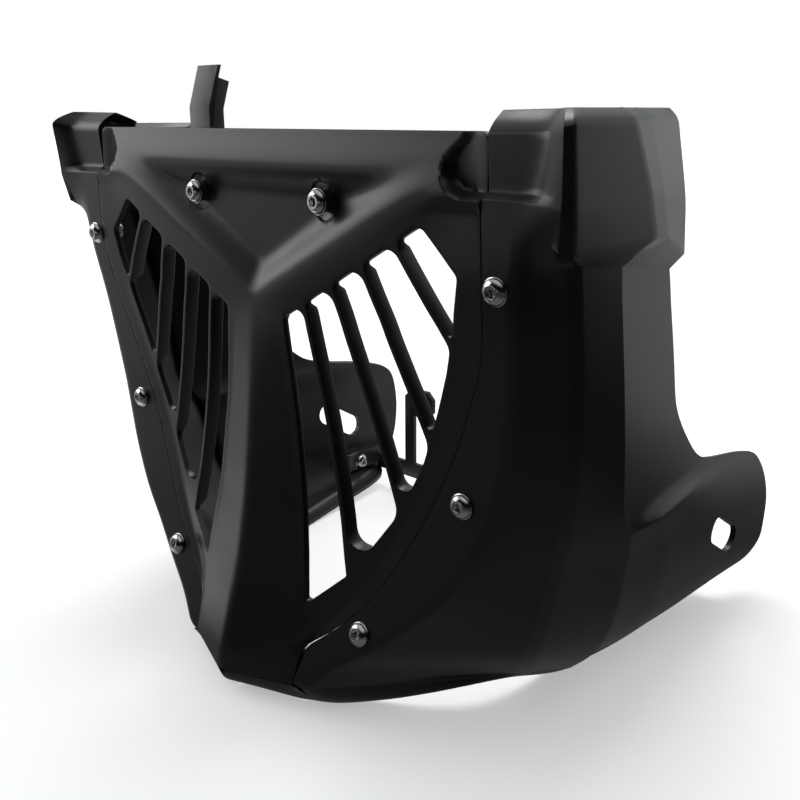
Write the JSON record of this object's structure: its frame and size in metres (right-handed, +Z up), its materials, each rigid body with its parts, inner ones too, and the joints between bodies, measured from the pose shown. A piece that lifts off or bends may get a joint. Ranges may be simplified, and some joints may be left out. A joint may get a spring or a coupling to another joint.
{
  "type": "motorcycle belly pan",
  "caption": "Motorcycle belly pan: a slatted grille panel with a folded prow, screwed between curved moulded side shells whose tails run rearward to a cross bracket.",
  "frame": {"origin": "midway between the two ear holes of the rear bracket, on the rear face of its ears", "axes": "+X across to the pan's right shell, seen from the front at the right; +Y to the rear of the motorcycle; +Z up"},
  "size_m": [0.3124, 0.2714, 0.2782],
  "materials": {
    "panel": "black, satin",
    "shell": "black, satin",
    "screw": "polished",
    "nut": "plain",
    "bracket": "satin"
  },
  "bodies": {
    "root": {"grille_panel": "panel", "left_shell": "shell", "right_shell": "shell", "flange_screws": "screw", "flange_nuts": "nut", "top_screws": "screw", "top_spacers": "nut", "top_nuts": "nut", "hook_bracket": "bracket", "rear_bracket": "bracket", "tail_screws": "screw"}
  },
  "joints": []
}
